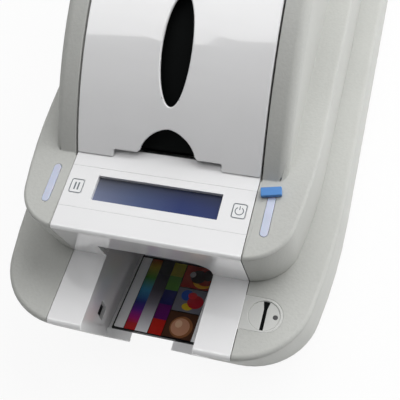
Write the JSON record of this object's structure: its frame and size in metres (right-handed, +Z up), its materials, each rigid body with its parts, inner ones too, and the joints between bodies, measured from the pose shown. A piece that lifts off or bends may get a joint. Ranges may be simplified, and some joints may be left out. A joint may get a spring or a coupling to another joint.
{
  "type": "card printer",
  "caption": "Desktop plastic card printer with an arched front cover, a sloping panel with a display, an open output tray and a rear card magazine.",
  "frame": {"origin": "on the table under the middle of the case", "axes": "+Z up, -Y towards the user and the card exit, +X to the user's right"},
  "size_m": [0.175, 0.388, 0.1739],
  "materials": {
    "case_grey": "fine textured",
    "gloss_white": "polished",
    "ink_black": "satin",
    "steel": "plain",
    "rubber": "matte",
    "roller_blue": "tacky",
    "tab_blue": "satin",
    "display": "clear over a blue display",
    "light": "translucent",
    "board_green": "solder mask",
    "card": "printed",
    "film": "coloured film",
    "motor_grey": "satin",
    "spool_grey": "satin",
    "ceramic": "ceramic"
  },
  "bodies": {
    "printer": {"lower_case": "case_grey", "bottom_plate": "case_grey", "rubber_feet": "rubber", "case_screws": "steel", "tray_liner": "gloss_white", "tray_sensor": "ink_black", "finished_cards": "card", "upper_case": "case_grey", "front_fascia": "gloss_white", "control_panel": "gloss_white", "panel_ramp": "gloss_white", "display_window": "display", "display_module": "board_green", "light_strips": "light", "lock_seat": "case_grey", "hinge_pins": "steel", "left_frame": "steel", "right_frame": "steel", "card_guide": "steel", "drive_belt": "ink_black", "motor_belt": "ink_black", "drive_motor": "motor_grey", "cartridge_frame": "ink_black", "ribbon_film": "film", "card_magazine": "ink_black", "blank_cards": "card", "main_board": "board_green", "data_ports": "steel", "power_socket": "ink_black", "rear_panel": "ink_black", "fan_housing": "ink_black"},
    "front_cover": {"front_cover": "gloss_white", "cover_liner": "ink_black"},
    "hopper_lid": {"hopper_lid": "gloss_white"},
    "release_lever": {"release_tab": "tab_blue", "latch_arm": "steel"},
    "lock_dial": {"lock_dial": "case_grey"},
    "pause_key": {"pause_key": "gloss_white"},
    "power_key": {"power_key": "gloss_white"},
    "power_switch": {"power_switch": "ink_black"},
    "exit_shaft": {"exit_shaft": "steel", "exit_roller": "rubber"},
    "platen_shaft": {"platen_shaft": "steel", "platen_roller": "rubber"},
    "feed_shaft": {"feed_shaft": "steel", "feed_roller": "rubber"},
    "cleaning_roller": {"cleaning_roller": "roller_blue"},
    "pick_shaft": {"pick_shaft": "steel", "pick_roller": "rubber"},
    "exit_idler": {"exit_idler": "rubber"},
    "feed_idler": {"feed_idler": "rubber"},
    "motor_pulley": {"motor_pulley": "steel"},
    "supply_spool": {"supply_spool": "spool_grey"},
    "takeup_spool": {"takeup_spool": "spool_grey"},
    "print_head": {"print_head": "ceramic", "head_arm": "steel"},
    "card_weight": {"card_weight": "ink_black"},
    "fan_rotor": {"fan_rotor": "ink_black"}
  },
  "joints": [
    {"name": "front_cover_hinge", "type": "hinge", "parent": "printer", "child": "front_cover", "pos_m": [0, 0.02375, 0.17041], "axis": [-1, 0, 0], "range_deg": [0, 80]},
    {"name": "hopper_lid_hinge", "type": "hinge", "parent": "printer", "child": "hopper_lid", "pos_m": [0, 0.14762, 0.12685], "axis": [-1, 0, 0], "range_deg": [0, 80]},
    {"name": "release_lever_turn", "type": "hinge", "parent": "printer", "child": "release_lever", "pos_m": [0.0538, -0.12179, 0.10263], "axis": [0, -0.0698, 0.9976], "range_deg": [-25, 0], "stiffness_Nm_per_rad": 0.02},
    {"name": "lock_dial_turn", "type": "hinge", "parent": "printer", "child": "lock_dial", "pos_m": [0.059, -0.1685, 0.064], "axis": [0, 0, 1], "range_deg": [0, 90]},
    {"name": "pause_key_press", "type": "slide", "parent": "printer", "child": "pause_key", "axis": [0, 0.0698, -0.9976], "range_m": [0, 0.0008], "stiffness_N_per_m": 400},
    {"name": "power_key_press", "type": "slide", "parent": "printer", "child": "power_key", "axis": [0, 0.0698, -0.9976], "range_m": [0, 0.0008], "stiffness_N_per_m": 400},
    {"name": "power_switch_rock", "type": "hinge", "parent": "printer", "child": "power_switch", "pos_m": [-0.044, 0.1875, 0.032], "axis": [1, 0, 0], "range_deg": [-7, 7]},
    {"name": "platen_spin", "type": "hinge", "parent": "printer", "child": "platen_shaft", "pos_m": [0, -0.04081, 0.0697], "axis": [1, 0, 0], "continuous": true},
    {"name": "exit_spin", "type": "hinge", "parent": "printer", "child": "exit_shaft", "pos_m": [0, -0.08081, 0.0697], "axis": [1, 0, 0], "continuous": true},
    {"name": "feed_spin", "type": "hinge", "parent": "printer", "child": "feed_shaft", "pos_m": [0, -0.00081, 0.0697], "axis": [1, 0, 0], "continuous": true},
    {"name": "cleaning_spin", "type": "hinge", "parent": "printer", "child": "cleaning_roller", "pos_m": [0, 0.02319, 0.0697], "axis": [1, 0, 0], "continuous": true},
    {"name": "pick_spin", "type": "hinge", "parent": "printer", "child": "pick_shaft", "pos_m": [0, 0.05719, 0.0697], "axis": [1, 0, 0], "continuous": true},
    {"name": "exit_idler_spin", "type": "hinge", "parent": "printer", "child": "exit_idler", "pos_m": [0, -0.08081, 0.08406], "axis": [1, 0, 0], "continuous": true},
    {"name": "feed_idler_spin", "type": "hinge", "parent": "printer", "child": "feed_idler", "pos_m": [0, -0.00081, 0.08406], "axis": [1, 0, 0], "continuous": true},
    {"name": "motor_spin", "type": "hinge", "parent": "printer", "child": "motor_pulley", "pos_m": [0, -0.01881, 0.038], "axis": [1, 0, 0], "continuous": true},
    {"name": "takeup_spin", "type": "hinge", "parent": "printer", "child": "takeup_spool", "pos_m": [0, -0.06281, 0.102], "axis": [1, 0, 0], "continuous": true},
    {"name": "supply_spin", "type": "hinge", "parent": "printer", "child": "supply_spool", "pos_m": [0, -0.01481, 0.11], "axis": [1, 0, 0], "continuous": true},
    {"name": "print_head_lift", "type": "hinge", "parent": "printer", "child": "print_head", "pos_m": [0, 0.01519, 0.091], "axis": [-1, 0, 0], "range_deg": [0, 4]},
    {"name": "card_weight_slide", "type": "slide", "parent": "printer", "child": "card_weight", "axis": [0, 0, 1], "range_m": [0, 0.03]},
    {"name": "fan_spin", "type": "hinge", "parent": "printer", "child": "fan_rotor", "pos_m": [0.05, 0.1865, 0.034], "axis": [0, 1, 0], "continuous": true}
  ],
  "couplings": [
    {"joint": "exit_spin", "follows": "platen_spin", "ratio": 1},
    {"joint": "feed_spin", "follows": "platen_spin", "ratio": 1},
    {"joint": "cleaning_spin", "follows": "platen_spin", "ratio": 1},
    {"joint": "pick_spin", "follows": "platen_spin", "ratio": 1},
    {"joint": "exit_idler_spin", "follows": "platen_spin", "ratio": -1.6},
    {"joint": "feed_idler_spin", "follows": "platen_spin", "ratio": -1.6},
    {"joint": "motor_spin", "follows": "platen_spin", "ratio": 2},
    {"joint": "takeup_spin", "follows": "supply_spin", "ratio": 1.2727}
  ]
}
